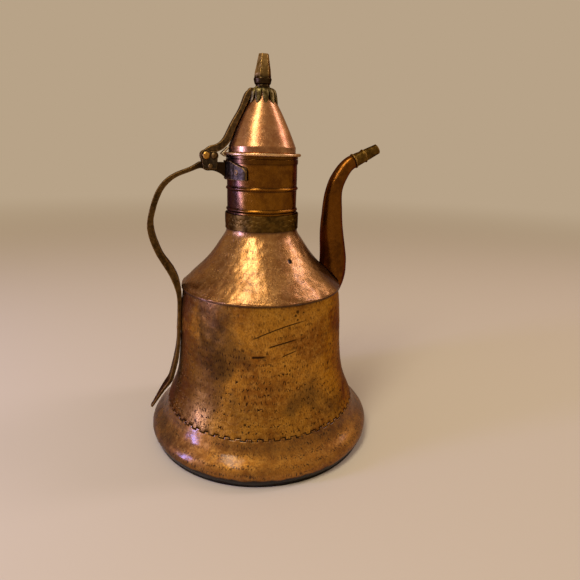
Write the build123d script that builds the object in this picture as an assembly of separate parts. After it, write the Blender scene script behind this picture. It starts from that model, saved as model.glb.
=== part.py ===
"""Copper coffee pot: a hand-made ewer with a hinged conical lid, a strap handle and a curved spout.

Millimetres. The origin is the centre of the flat underside, on the floor. +Z is up, the spout leans
out along +X, and the handle stands out along -X. Every piece is a solid of its own.
"""

import math
import os

from build123d import *

# Sheet, clearances and rivets
sheet = 1.2  # copper sheet of body, shoulder, neck and lid
lid_gap = 0.3  # between the lid's seat and the neck's mouth
side_gap = 0.3  # each side of the knuckle, between the cheeks
collar_gap = 0.8  # round the lid's inner collar, so that it swings clear
pin_clearance = 0.05  # round the pin in the knuckle
rivet_radius = 1.6
rivet_head_radius = 3.0
rivet_head_height = 1.0
rivet_seat_gap = 0.12  # between a rivet's flat head and the round wall behind it
flush_stand = 0.2  # how far a flush rivet stands out of the leg's face

# Foot pan and wall, outer radii and heights above the floor
flat_radius = 93.5
foot_radius = 100.2
foot_widest_height = 11.5
seam_radius = 85.6
seam_height = 32.8
seam_slope = 0.43  # inwards for each millimetre up, along the seam
wall_top_radius = 67.9
wall_rise = 105.3  # from the seam to the wall's top edge
wall_top_lean = 0.16  # inwards for each millimetre up, at the wall's top
inner_steps = 16  # points that carry a sheet's inner face

# Shares of the way inwards and up, which give the curves their form
foot_edge_shape = ((0.82, 0.435),)
flare_shape = ((0.26, 0.287), (0.685, 0.573))
wall_shape = ((0.439, 0.18), (0.702, 0.408), (0.813, 0.716))
cone_shape = ((0.655, 0.70),)
shoulder_shape = ((0.176, 0.143), (0.437, 0.338), (0.697, 0.583), (0.882, 0.798))

# Toothed seam between pan and wall
tooth_count = 60
tooth_height = 1.6
tooth_share = 0.5  # part of each pitch that the pan's tooth takes

# Shoulder, folded over the wall's top edge
fold_depth = 1.0  # how far the fold reaches down outside the wall
lip_height = 1.4  # from the wall's top up to the shoulder's edge
lip_round = 0.9  # how far the edge is drawn in over its height
shoulder_rise = 47.0  # from the shoulder's edge to the foot of the neck
throat_lip = 5.0  # upright lip round the foot of the neck tube

# Neck and its bands
neck_radius = 29.0
neck_rise = 55.9  # from the foot of the neck to its mouth
swage_heights = (16.0, 33.0)  # of the two raised rings, above the foot of the neck
swage_depth = 1.0
swage_half_height = 1.3
foot_band_height = 13.0
foot_band_cover = 0.7  # thickness over the throat's lip
mouth_band_height = 3.8
mouth_band_thickness = 0.7
band_bevel = 0.3

# Lid
ring_overhang = 2.9  # of the ring beyond the neck's face
ring_height = 2.5
seat_overhang = 0.4  # of the stepped flange under the ring, which stands on the neck's mouth
seat_height = 1.9
inner_collar_depth = 5.0  # below the neck's mouth
inner_collar_wall = 1.0
band_inset = 1.6  # of the lid's upright band behind the neck's face
band_rise = 4.6  # upright band between the ring and the cone
cone_rise = 40.9  # from the band to the flat top under the finial
cone_top_radius = 7.4
cone_rounding = 1.2  # height of the rounding between band and cone

# Clip folded round the ring at the hinge side
clip_sheet = 0.9
clip_lap = 1.4  # how far its lower arm reaches in under the ring
clip_reach = 1.8  # of its nose beyond the ring

# Hinge
pin_reach = 16.8  # from the neck's outer face to the pin's axis
pin_rise = 1.8  # of the pin's axis above the neck's mouth
pin_radius = 2.0
pin_head_radius = 3.1
pin_head_height = 1.4
knuckle_wall = 2.15  # round the pin's bore
cheek_thickness = 2.6
cheek_margin = 1.3  # of cheek round the pin's head
lobe_rivet_radius = 1.3
lobe_rivet_head = 2.6
lobe_margin = 1.0  # of cheek round the lobe rivet's head
head_gap = 0.2  # between the pin's head and the lobe rivet's head
bar_rivet_depth = 3.1  # from the bar's top down to the rivet through it
bar_rivet_head = 1.95
bar_rivet_head_height = 0.7
cheek_tail = 2.5  # of cheek below the bar rivet's axis
cheek_top_inset = 0.4  # of the shank's sides behind the lobes, at the pin's axis
cheek_foot_inset = 1.6  # the same at the cheek's foot

# Lid strap
strap_thickness = 2.5  # at its flat end, under the crown
strap_eye_wall = 4.2  # round the finial's stem
strap_heel = 1.2  # how far behind the pin's axis the strap leaves the knuckle
strap_bite = 0.2  # how deep its end sits in the knuckle
strap_stand = 5.6  # of its bend beyond the lid's flat top
strap_landing = 1.0  # where it lies flat again, beyond the lid's flat top
strap_steps = 30
# Share of the strap's length and its thickness there
strap_thickness_shares = (
    (0.0, 5.8), (0.3, 5.6), (0.4, 5.1), (0.5, 4.7), (0.6, 4.1), (0.7, 3.7), (0.75, 3.8), (0.83, 4.3),
    (0.88, 4.4), (1.0, strap_thickness),
)
strap_shape = (
    (0.148, 0.077), (0.278, 0.106), (0.425, 0.19), (0.55, 0.349), (0.668, 0.518), (0.81, 0.693),
    (0.907, 0.857),
)

# Crown of leaves and finial
leaf_count = 12
leaf_start_angle = -90.0
crown_sheet = 0.9
crown_top_overhang = 1.4  # beyond the lid's flat top, like the next two
crown_shoulder_overhang = 3.3
leaf_tip_overhang = 5.4
crown_shoulder_drop = 1.6
leaf_length = 13.2
leaf_split_drop = 1.1  # from the crown's top down to where the leaves part
leaf_gap = 0.6
leaf_shape = ((0.55, 0.85), (1.0, 1.0))  # shares of the half pitch and of the length, down to the tips
leaf_shoulder_share = 0.5  # of the length, where a leaf begins to narrow
stem_radius = 2.0
finial_foot_radius = 5.7
finial_foot_height = 1.8
finial_cup_radius = 7.2
finial_cup_height = 5.0
finial_bud_height = 17.2
finial_tip_radius = 4.0
finial_lean = 0.8  # of the tip, towards the spout
finial_facets = 6
finial_round = 0.8  # of the cup's edges
bud_shape = ((0.0, 1.0), (0.2, 0.92), (1.0, 0.0))  # shares of the bud's height and of its fullness
washer_radius = 5.0
washer_thickness = 1.2
stem_tail = 1.2  # of stem below the washer

# Clasp on the neck
clasp_thickness = 2.4
clasp_half_angle = 54.0
clasp_height = 14.8
clasp_drop = 1.6  # from the neck's mouth down to its top edge, which laps over the mouth's band
clasp_corner = 1.2
clasp_shape = ((0.5, 0.0), (0.93, 0.31), (1.0, 0.52), (1.0, 1.0))  # shares of the half width and height
clasp_rivet_angle = 38.0
clasp_rivet_drop = 8.7  # from its top edge

# Handle
bar_width = 11.0  # over the arch
leg_width = 14.0  # down the body
bar_top_gap = 0.6  # under the knuckle
bar_flat = 5.0  # flat top of the bar beyond the pin's axis
arch_reach = 64.7  # from the neck's face to the arch's outermost point
arch_drop = 54.5  # from the neck's mouth down to that point
arch_narrowing = 17.0  # height over which the leg narrows to the bar, above the wall's top
leg_top_drop = 20.1  # from the wall's top down to the leg's straight part
leg_thickness = 2.8
leg_allowance = 0.1  # of thickness that goes where the leg is fitted to the wall
tail_bend_out = 0.1  # beyond the seam's radius
tail_bend_rise = 17.6  # above the seam
tail_tip_out = 15.4
tail_tip_drop = 6.0  # below the seam
tail_point_width = 4.0
tail_point_thickness = 2.0
tail_taper = 26.0  # height over which the tail widens
handle_steps = 60
arch_upper_shape = ((0.11, 0.054), (0.452, 0.175), (0.734, 0.363), (0.93, 0.707))
arch_lower_shape = ((0.146, 0.205), (0.302, 0.325), (0.648, 0.514), (0.979, 0.814))
arch_start_way = (-1, -0.5)
tail_bend_way = (-0.62, -0.78)
tail_tip_way = (-0.55, -0.83)

# Share of the way down the leg and the leg's distance from the wall there
leg_shape = ((0.0, 0.0), (0.24, 0.0), (0.44, 0.4), (0.58, 1.3), (0.72, 2.4), (0.86, 3.3))

# Share of the handle's length and the bar's thickness there
bar_thickness_shares = (
    (0.0, 14.5), (0.017, 9.6), (0.034, 7.5), (0.05, 6.6), (0.08, 6.2), (0.10, 3.7), (0.12, 3.2), (0.16, 3.3),
    (0.2, 3.8), (0.25, 4.5), (0.32, 4.7), (0.36, 5.5), (0.45, 5.3), (0.50, 6.1), (0.53, 6.1), (0.56, 5.2),
    (0.60, 3.8), (0.64, leg_thickness + leg_allowance), (0.74, leg_thickness + leg_allowance), (0.80, 3.5),
    (0.87, 3.5), (0.91, leg_thickness), (1.0, tail_point_thickness),
)
leg_rivet_drops = (16.1, 38.1)  # below the wall's top

# Spout's centre line: out from the shoulder's edge, up from it, and the outer radius there
spout_wall = 1.1
spout_line = (
    (-12.1, -19.5, 9.0),
    (-6.7, -8.5, 11.8),
    (-3.9, 1.5, 12.6),
    (-2.8, 11.5, 12.5),
    (-4.3, 32.5, 11.2),
    (-5.9, 54.5, 9.4),
    (-5.8, 70.5, 8.2),
    (-3.6, 83.0, 7.2),
    (1.5, 93.1, 6.6),
    (6.9, 99.5, 6.1),
    (11.3, 102.3, 5.9),
)
spout_start_way = (0.4, 1)
spout_hole_radius = 5.5
spout_hole_rise = 7.9  # of its centre above the shoulder's edge

# Spout's end sleeve
sleeve_length = 24.4
sleeve_rise_angle = 26.5
sleeve_tip_radius = 4.4
sleeve_wall = 1.0
sleeve_ring_height = 0.7
sleeve_ring_length = 1.8
sleeve_ring_bevel = 0.6
sleeve_ring_places = (0.0, 10.0)
spigot_length = 3.0
spigot_gap = 0.35
spigot_root = 0.5  # how far the spigot reaches into the sleeve's wall

# Heights, radii and places worked out from the sizes above
wall_top = seam_height + wall_rise
edge_height = wall_top + lip_height
edge_radius = wall_top_radius + sheet
neck_foot = edge_height + shoulder_rise
neck_mouth = neck_foot + neck_rise
throat_radius = neck_radius + sheet
foot_band_radius = throat_radius + foot_band_cover
mouth_band_radius = neck_radius + mouth_band_thickness
ring_radius = neck_radius + ring_overhang
seat_radius = neck_radius + seat_overhang
band_radius = neck_radius - band_inset
seat_foot = neck_mouth + lid_gap
ring_foot = seat_foot + seat_height
ring_top = ring_foot + ring_height
cone_foot = ring_top + band_rise
lid_top = cone_foot + cone_rise
crown_top = lid_top + strap_thickness + crown_sheet
crown_top_radius = cone_top_radius + crown_top_overhang
crown_shoulder_radius = cone_top_radius + crown_shoulder_overhang
leaf_tip_radius = cone_top_radius + leaf_tip_overhang
pin_x = -(neck_radius + pin_reach)
pin_z = neck_mouth + pin_rise
knuckle_radius = pin_radius + pin_clearance + knuckle_wall
cheek_radius = pin_head_radius + cheek_margin
lobe_radius = lobe_rivet_head + lobe_margin
lobe_x = pin_x + pin_head_radius + head_gap + lobe_rivet_head
bar_top = pin_z - knuckle_radius - bar_top_gap
bar_rivet_x = (pin_x + lobe_x) / 2
bar_rivet_z = bar_top - bar_rivet_depth
leg_top_height = wall_top - leg_top_drop
clasp_radius = neck_radius + clasp_thickness
clasp_top = neck_mouth - clasp_drop
strap_width = bar_width - 2 * side_gap


def between(start, end, shape):
    """Points from start to end, by their shares of the way across and up."""
    return [
        (start[0] + (end[0] - start[0]) * across, start[1] + (end[1] - start[1]) * up)
        for across, up in shape
    ]


def flat(points):
    """The same points, (across, up), in the XZ plane."""
    return [(x, 0, z) for x, z in points]


def side_points(edge, distance, steps):
    """Points beside an edge of the XZ plane, on its left; distance may vary with the share run."""
    points = []
    for step in range(steps + 1):
        share = step / steps
        place, way = edge @ share, edge % share
        d = distance(share) if callable(distance) else distance
        points.append((place.X - d * way.Z, place.Z + d * way.X))
    return points


def turn(points):
    """A solid of revolution about Z from a closed outline of straight sides."""
    return revolve(make_face(Polyline(*flat(points), close=True)), Axis.Z)


def tube(outer, inner, bottom, top):
    """A plain ring about Z."""
    return turn([(inner, bottom), (outer, bottom), (outer, top), (inner, top)])


def bevelled_band(outer, inner, bottom, top, bevel):
    """A ring about Z with its two outer edges bevelled."""
    return turn([(inner, bottom), (outer - bevel, bottom), (outer, bottom + bevel),
                 (outer, top - bevel), (outer - bevel, top), (inner, top)])


def curve(points, start=None, end=None):
    """A smooth curve of the XZ plane through points, with its directions at both ends if given."""
    if start is None:
        return Spline(*flat(points))
    ways = [(start[0], 0, start[1]), (end[0], 0, end[1])]
    return Spline(*flat(points), tangents=ways, tangent_scalars=[1, 1])


def beside(edge, distance, steps):
    """The curve on an edge's left, with the edge's own directions at its ends."""
    first, last = edge % 0, edge % 1
    points = side_points(edge, distance, steps)
    if callable(distance):
        return curve(points)
    return curve(points, (first.X, first.Z), (last.X, last.Z))


def strip(outside, inside):
    """The face between two lines, closed across their ends."""
    return make_face([outside, inside, Line(outside @ 0, inside @ 0), Line(outside @ 1, inside @ 1)])


def sheet_turned(edge):
    """A sheet of revolution whose outer face follows the edge, running upwards."""
    return revolve(strip(edge, beside(edge, sheet, inner_steps)), Axis.Z)


def pin_along_y(x, z, radius, length):
    return Pos(x, 0, z) * Rot(90, 0, 0) * Cylinder(radius, length)


def plate_along_y(face, half_width):
    return extrude(face, half_width, dir=(0, 1, 0), both=True)


def seam_way():
    """Direction of the outer line along the seam, upwards."""
    return (-seam_slope, 1)


def seam_top():
    return (seam_radius - seam_slope * tooth_height, seam_height + tooth_height)


def pan_edge():
    """Outer line of the foot pan, from the edge of its flat underside to the seam."""
    flat_edge, widest = (flat_radius, 0), (foot_radius, foot_widest_height)
    seam = (seam_radius, seam_height)
    points = [flat_edge] + between(flat_edge, widest, foot_edge_shape) + [widest]
    points += between(widest, seam, flare_shape) + [seam]
    return curve(points, (1, 0), seam_way())


def wall_edge():
    """Outer line of the wall, from the top of the seam's teeth to the wall's top."""
    start, top = seam_top(), (wall_top_radius, wall_top)
    return curve([start] + between(start, top, wall_shape) + [top], seam_way(), (-wall_top_lean, 1))


def wall_radius(height):
    """Outer radius of the wall at a height, read from its line."""
    line = wall_edge()
    low, high = 0.0, 1.0
    while high - low > 1e-4:
        middle = (low + high) / 2
        if (line @ middle).Z < height:
            low = middle
        else:
            high = middle
    return (line @ low).X


def seam_teeth():
    """The seam's band of sheet, parted into the pan's teeth and the wall's teeth between them."""
    line = Line(*flat([(seam_radius, seam_height), seam_top()]))
    inside = Line(*flat(side_points(line, sheet, 1)))
    band = revolve(strip(line, inside), Axis.Z)
    width = 2 * math.pi * seam_radius / tooth_count * tooth_share
    block = Pos(seam_radius, 0, seam_height + tooth_height / 2) * Box(10 * sheet, width, 3 * tooth_height)
    comb = [Rot(0, 0, 360 / tooth_count * n) * block for n in range(tooth_count)]
    return band & Compound(children=comb), band - comb


def base_pan(teeth):
    """Flat bottom and flared foot in one sheet, up to the seam."""
    edge = pan_edge()
    inside = beside(edge, sheet, inner_steps)
    floor = (inside @ 0).Z
    outline = [
        Line((0, 0, 0), edge @ 0),
        edge,
        Line(edge @ 1, inside @ 1),
        inside,
        Line(inside @ 0, (0, 0, floor)),
        Line((0, 0, floor), (0, 0, 0)),
    ]
    return revolve(make_face(outline), Axis.Z) + teeth


def body_wall(teeth):
    return sheet_turned(wall_edge()) + teeth


def shoulder_edge():
    """Outer line of the shoulder from its edge up to the foot of the neck."""
    start, end = (edge_radius - lip_round, edge_height), (throat_radius, neck_foot)
    return curve([start] + between(start, end, shoulder_shape) + [end], (-1, 0.9), (0, 1))


def shoulder_cone():
    """Concave shoulder: a fold round the wall's top, the cone, and an upright lip round the throat."""
    edge = shoulder_edge()
    inside = beside(edge, sheet, inner_steps)
    fold_foot = wall_top - fold_depth
    seat = (inside @ 0).X
    fold = turn([(wall_top_radius, fold_foot), (edge_radius, fold_foot),
                 (edge_radius, edge_height - lip_round / 2), (edge_radius - lip_round, edge_height),
                 (seat, (inside @ 0).Z), (seat, wall_top), (wall_top_radius, wall_top)])
    cone = sheet_turned(edge)
    lip = tube(throat_radius, neck_radius, neck_foot, neck_foot + throat_lip)
    return fold - filled(wall_edge()) + cone + lip


def spout_hole():
    """The opening through the shoulder under the spout, square to the shoulder's face."""
    line = shoulder_edge()
    share = spout_hole_rise / shoulder_rise
    way = line % share
    place = Plane(origin=line @ share, z_dir=(way.Z, 0, -way.X))
    return place * Cylinder(spout_hole_radius, 8 * sheet)


def filled(edge):
    """The solid of revolution inside a line that runs upwards."""
    low, high = edge @ 0, edge @ 1
    rest = Polyline(high, (0, 0, high.Z), (0, 0, low.Z), low)
    return revolve(make_face([edge] + rest.edges()), Axis.Z)


def pot_envelope():
    """The outside of wall and shoulder, filled: what the handle and the spout are fitted against."""
    fold_foot = wall_top - fold_depth
    fold = turn([(0, fold_foot), (edge_radius, fold_foot), (edge_radius, edge_height - lip_round / 2),
                 (edge_radius - lip_round, edge_height), (0, edge_height)])
    return filled(wall_edge()) + fold + filled(shoulder_edge())


def neck_tube():
    """The neck, with its raised rings pressed out of the sheet."""
    def side(radius):
        line = []
        low = neck_foot
        for rise in swage_heights:
            middle = neck_foot + rise
            start, end = middle - swage_half_height, middle + swage_half_height
            crest = (radius + swage_depth, middle)
            line.append(Line(*flat([(radius, low), (radius, start)])))
            line.append(ThreePointArc(*flat([(radius, start), crest, (radius, end)])))
            low = end
        line.append(Line(*flat([(radius, low), (radius, neck_mouth)])))
        return line

    edges = side(neck_radius) + side(neck_radius - sheet)
    for level in (neck_foot, neck_mouth):
        edges.append(Line((neck_radius, 0, level), (neck_radius - sheet, 0, level)))
    return revolve(make_face(edges), Axis.Z)


def neck_collar():
    """The band over the joint of shoulder and neck, stepped to fit the throat's lip."""
    top = neck_foot + foot_band_height
    step = neck_foot + throat_lip
    return turn([(throat_radius, neck_foot), (foot_band_radius - band_bevel, neck_foot),
                 (foot_band_radius, neck_foot + band_bevel), (foot_band_radius, top - band_bevel),
                 (foot_band_radius - band_bevel, top), (neck_radius, top), (neck_radius, step),
                 (throat_radius, step)])


def mouth_band():
    foot = neck_mouth - mouth_band_height
    return bevelled_band(mouth_band_radius, neck_radius, foot, neck_mouth, band_bevel)


def radial_rivet(angle, height, outer, inner):
    """A flush rivet from the outer radius in to the inner one, with a head on the inside."""
    shank = Pos(0, 0, (outer + inner) / 2) * Cylinder(rivet_radius, outer - inner)
    head = Pos(0, 0, inner - rivet_head_height / 2) * Cylinder(rivet_head_radius, rivet_head_height)
    return Pos(0, 0, height) * Rot(0, 0, angle) * Rot(0, 90, 0) * (shank + head)


def clasp_rivets():
    """Rivets of the clasp; their heads bear on the neck's inner face."""
    height = clasp_top - clasp_rivet_drop
    inner = math.sqrt((neck_radius - sheet) ** 2 - rivet_head_radius**2)
    full = tube(clasp_radius, 0, height - clasp_height, height + clasp_height)
    angles = [180 + side * clasp_rivet_angle for side in (-1, 1)]
    return [radial_rivet(angle, height, clasp_radius + sheet, inner) & full for angle in angles]


def neck_clasp():
    """The palm plate: part of a ring round the back of the neck, its top edge sloping down both ways."""
    ring = tube(clasp_radius, neck_radius, clasp_top - clasp_height, clasp_top)
    reach = clasp_radius * math.sin(math.radians(clasp_half_angle))
    front = -neck_radius * math.cos(math.radians(clasp_half_angle))
    right = [(reach * across, clasp_top - clasp_height * down) for across, down in clasp_shape]
    left = [(-y, z) for y, z in reversed(right)]
    outline = make_face(Polyline(*[(front, y, z) for y, z in right + left], close=True))
    window = extrude(fillet(outline.vertices(), clasp_corner), clasp_radius, dir=(-1, 0, 0))
    return (ring & window) - mouth_band()


def handle_outline():
    """Outer line of the handle, from the neck over the arch, down the leg to the tail's tip."""
    start, flat_end = (-neck_radius, bar_top), (pin_x - bar_flat, bar_top)
    outermost = (-(neck_radius + arch_reach), neck_mouth - arch_drop)
    bend = (-(seam_radius + tail_bend_out), seam_height + tail_bend_rise)
    tip = (-(seam_radius + tail_tip_out), seam_height - tail_tip_drop)
    leg = []
    for share, gap in leg_shape:
        height = leg_top_height + (bend[1] - leg_top_height) * share
        leg.append((-(wall_radius(height) + gap + leg_thickness), height))
    upper = [flat_end] + between(flat_end, outermost, arch_upper_shape) + [outermost]
    lower = between(outermost, leg[0], arch_lower_shape) + leg + [bend]
    flat_top = Line(*flat([start, flat_end]))
    arch = curve(upper + lower, arch_start_way, tail_bend_way)
    tail = curve([bend, tip], tail_bend_way, tail_tip_way)
    return Wire([flat_top.edge(), arch.edge(), tail.edge()])


def thickness_along(shares):
    """The thickness at a share of a bar's length, as a function, from a table of both."""
    def thickness(share):
        for (low, thick_low), (high, thick_high) in zip(shares, shares[1:]):
            if share <= high:
                return thick_low + (thick_high - thick_low) * (share - low) / (high - low)
        return shares[-1][1]
    return thickness


def handle_bar(envelope):
    """The handle: a bar cut from its side and front outlines, fitted to the pot and the clasp."""
    outer = handle_outline()
    inner = beside(outer, thickness_along(bar_thickness_shares), handle_steps)
    ends = [Line(outer @ 0, inner @ 0), Line(outer @ 1, inner @ 1)]
    side = plate_along_y(make_face(outer.edges() + inner.edges() + [end.edge() for end in ends]), leg_width)
    tip = seam_height - tail_tip_drop
    right = [
        (tail_point_width / 2, tip - tail_point_thickness),
        (leg_width / 2, tip + tail_taper),
        (leg_width / 2, wall_top),
        (bar_width / 2, wall_top + arch_narrowing),
        (bar_width / 2, neck_mouth),
    ]
    left = [(-y, z) for y, z in reversed(right)]
    front = make_face(Polyline(*[(0, y, z) for y, z in right + left], close=True))
    bar = side & extrude(front, 2 * foot_radius, dir=(-1, 0, 0))
    return bar - envelope - tube(clasp_radius, 0, 0, neck_mouth + sheet)


def leg_rivets():
    """Rivets of the handle's leg, flush with its face, their heads bearing on the wall's inner face."""
    rivets = []
    for drop in leg_rivet_drops:
        height = wall_top - drop
        outer = wall_radius(height) + leg_thickness + flush_stand
        face = wall_radius(height + rivet_head_radius) - sheet
        inner = math.sqrt(face**2 - rivet_head_radius**2) - rivet_seat_gap
        rivets.append(radial_rivet(180, height, outer, inner))
    return rivets


def cheek_plate():
    """Side outline of a cheek: a lobe at the pin, a smaller one at the rivet, and a shank down the bar."""
    back, front = pin_x - cheek_radius, lobe_x + lobe_radius
    foot = bar_rivet_z - cheek_tail
    shank = [(back + cheek_top_inset, pin_z), (front - cheek_top_inset, pin_z),
             (front - cheek_foot_inset, foot), (back + cheek_foot_inset, foot)]
    plate = plate_along_y(make_face(Polyline(*flat(shank), close=True)), cheek_thickness / 2)
    plate += pin_along_y(pin_x, pin_z, cheek_radius, cheek_thickness)
    return plate + pin_along_y(lobe_x, pin_z, lobe_radius, cheek_thickness)


def hinge_cheeks():
    """The two cheeks, against the flanks of the bar."""
    plate = cheek_plate()
    holes = ((pin_x, pin_z, pin_radius), (lobe_x, pin_z, lobe_rivet_radius),
             (bar_rivet_x, bar_rivet_z, lobe_rivet_radius))
    for x, z, radius in holes:
        plate -= pin_along_y(x, z, radius, 2 * cheek_thickness)
    centre = (bar_width + cheek_thickness) / 2
    return [Pos(0, side * centre, 0) * plate for side in (-1, 1)]


def spherical_cap(radius, height):
    """A low dome on the XY plane: part of a ball."""
    ball = (radius**2 + height**2) / (2 * height)
    half_angle = math.asin(radius / ball) / 2
    middle = (ball * math.sin(half_angle), 0, height - ball + ball * math.cos(half_angle))
    return revolve(make_face([
        Line((0, 0, 0), (radius, 0, 0)),
        ThreePointArc((radius, 0, 0), middle, (0, 0, height)),
        Line((0, 0, height), (0, 0, 0)),
    ]), Axis.Z)


def headed_pin(x, z, radius, head_radius, head_height):
    """A pin across both cheeks with a domed head at each end."""
    half = bar_width / 2 + cheek_thickness
    shank = pin_along_y(x, z, radius, 2 * half)
    dome = spherical_cap(head_radius, head_height)
    far = Pos(x, half, z) * Rot(-90, 0, 0) * dome
    near = Pos(x, -half, z) * Rot(90, 0, 0) * dome
    return shank + far + near


def cheek_rivets():
    upper = headed_pin(lobe_x, pin_z, lobe_rivet_radius, lobe_rivet_head, pin_head_height)
    lower = headed_pin(bar_rivet_x, bar_rivet_z, lobe_rivet_radius, bar_rivet_head, bar_rivet_head_height)
    return [upper, lower]


def strap_edge():
    """Outer line of the strap, from the knuckle up the lid to the bend over its top."""
    foot = (pin_x - strap_heel, pin_z + knuckle_radius - strap_bite)
    bend = (-(cone_top_radius + strap_stand), lid_top)
    end = (-(cone_top_radius + strap_landing), lid_top + strap_thickness)
    return curve([foot] + between(foot, bend, strap_shape) + [bend, end], (0.8, 0.6), (1, 0))


def lid_strap():
    """The hinge arm: a strap with a knuckle at its foot and an eye round the finial's stem."""
    edge, thickness = strap_edge(), thickness_along(strap_thickness_shares)
    inside = beside(edge, lambda share: -thickness(share), strap_steps)
    arm = plate_along_y(strip(edge, inside), strap_width / 2) - filled(cone_side())
    middle = lid_top + strap_thickness / 2
    reach = cone_top_radius + strap_landing + strap_thickness
    arm += Pos(-reach / 2, 0, middle) * Box(reach, strap_width, strap_thickness)
    arm += Pos(0, 0, middle) * Cylinder(stem_radius + strap_eye_wall, strap_thickness)
    arm += pin_along_y(pin_x, pin_z, knuckle_radius, strap_width)
    arm -= pin_along_y(pin_x, pin_z, pin_radius + pin_clearance, 2 * strap_width)
    arm -= Pos(0, 0, middle) * Cylinder(stem_radius, 2 * strap_thickness)
    return arm


def cone_side():
    """Outer line of the lid's cone, above the rounding over its band."""
    top, foot = (cone_top_radius, lid_top), (band_radius - cone_rounding / 2, cone_foot + cone_rounding)
    return curve([foot] + between(foot, top, cone_shape) + [top])


def lid_cone():
    """The lid's cone with its upright band and flat top."""
    side = cone_side()
    inside = beside(side, sheet, inner_steps)
    inner = band_radius - sheet
    below = Polyline(inside @ 0, (inner, 0, cone_foot), (inner, 0, ring_top), (band_radius, 0, ring_top),
                     (band_radius, 0, cone_foot), side @ 0)
    above = Polyline(side @ 1, (stem_radius, 0, lid_top), (stem_radius, 0, lid_top - sheet),
                     ((inside @ 1).X, 0, lid_top - sheet), inside @ 1)
    return revolve(make_face([side, inside] + below.edges() + above.edges()), Axis.Z)


def lid_rim_ring():
    """The ring round the lid's edge, with a full round on its outer side."""
    straight, middle = ring_radius - ring_height / 2, ring_foot + ring_height / 2
    inner = band_radius - sheet
    low, high = (straight, ring_foot), (straight, ring_top)
    nose = ThreePointArc(*flat([low, (ring_radius, middle), high]))
    rest = Polyline(*flat([high, (inner, ring_top), (inner, ring_foot), low]))
    return revolve(make_face([nose] + rest.edges()), Axis.Z)


def lid_inner_collar():
    """The lid's seat: a flange between the ring and the neck's mouth, with a skirt down into the neck."""
    outer = neck_radius - sheet - collar_gap
    inner = outer - inner_collar_wall
    foot = neck_mouth - inner_collar_depth
    return turn([(inner, foot), (outer, foot), (outer, seat_foot), (seat_radius, seat_foot),
                 (seat_radius, ring_foot), (inner, ring_foot)])


def rim_clip():
    """The small V of sheet folded round the ring at the hinge side, its upper arm leaning on the band."""
    middle = ring_foot + ring_height / 2
    top = cone_foot - clip_sheet
    outer = [(-ring_radius + clip_lap, ring_foot - clip_sheet), (-ring_radius - clip_reach, middle),
             (-band_radius - clip_sheet, top)]
    inner = [(-band_radius, top), (-ring_radius, middle), (-ring_radius + clip_lap, ring_foot)]
    clip = plate_along_y(make_face(Polyline(*flat(outer + inner), close=True)), strap_width / 2)
    return clip - lid_rim_ring() - tube(band_radius, 0, ring_foot, cone_foot)


def petal_crown():
    """Crown of leaves: a cap turned from sheet, cut into pointed leaves, with a slot for the strap."""
    top, tip = crown_top, crown_top - leaf_length
    bend = top - crown_shoulder_drop
    cap = turn([(stem_radius, top), (crown_top_radius, top), (crown_shoulder_radius, bend),
                (leaf_tip_radius, tip), (leaf_tip_radius - crown_sheet, tip),
                (crown_shoulder_radius - crown_sheet, bend - crown_sheet / 2),
                (crown_top_radius - crown_sheet / 3, top - crown_sheet), (stem_radius, top - crown_sheet)])
    half_pitch = math.pi * leaf_tip_radius / leaf_count
    right = [(leaf_gap / 2, leaf_split_drop), (leaf_gap / 2, leaf_length * leaf_shoulder_share)]
    right += [(half_pitch * across, leaf_length * down) for across, down in leaf_shape]
    right += [(half_pitch, leaf_length + sheet)]
    left = [(-y, drop) for y, drop in reversed(right)]
    notch = Polyline(*[(crown_top_radius / 2, y, top - drop) for y, drop in right + left], close=True)
    wedge = extrude(make_face(notch), 2 * leaf_tip_radius, dir=(1, 0, 0))
    for n in range(leaf_count):
        cap -= Rot(0, 0, leaf_start_angle + 360 / leaf_count * (n + 0.5)) * wedge
    slot = Box(2 * leaf_tip_radius, strap_width + side_gap, 2 * leaf_length)
    return cap - Pos(-leaf_tip_radius, 0, tip - crown_sheet) * slot - filled(cone_side())


def finial():
    """The bud: a foot and a cup, a faceted bud that leans a little, and the stem through the lid."""
    foot, edge = crown_top, finial_round / 2
    cup_foot = foot + finial_foot_height
    cup_top = cup_foot + finial_cup_height
    bud_radius = finial_cup_radius - edge
    turned = turn([(0, foot), (finial_foot_radius, foot), (finial_foot_radius, cup_foot - edge),
                   (finial_foot_radius - edge, cup_foot),
                   (finial_cup_radius - finial_round, cup_foot + finial_round),
                   (finial_cup_radius, cup_top - finial_round), (bud_radius, cup_top), (0, cup_top)])
    rings = []
    for rise, fullness in bud_shape:
        radius = finial_tip_radius + (bud_radius - finial_tip_radius) * fullness
        place = Plane(origin=(finial_lean * rise, 0, cup_top + finial_bud_height * rise))
        rings.append(place * RegularPolygon(radius, finial_facets))
    stem = tube(stem_radius, 0, lid_top - sheet - washer_thickness - stem_tail, foot)
    return turned + loft(rings, ruled=True) + stem


def finial_washer():
    top = lid_top - sheet
    return tube(washer_radius, stem_radius, top - washer_thickness, top)


def spout_skin(inset):
    """The spout's outside, drawn in by an inset, as one smooth loft through its circles."""
    rise = math.radians(sleeve_rise_angle)
    points = [(edge_radius + out, edge_height + up) for out, up, _ in spout_line]
    line = curve(points, spout_start_way, (math.cos(rise), math.sin(rise)))
    sections = []
    for (x, z), (_, _, radius) in zip(points, spout_line):
        share = line.param_at_point((x, 0, z))
        across = Plane(origin=line @ share, x_dir=(0, 1, 0), z_dir=line % share)
        sections.append(across * Circle(radius - inset))
    return loft(sections)


def spout_tube(envelope):
    """The spout: a tapered tube whose foot straddles the shoulder's edge."""
    return spout_skin(0) - spout_skin(spout_wall) - envelope


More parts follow.
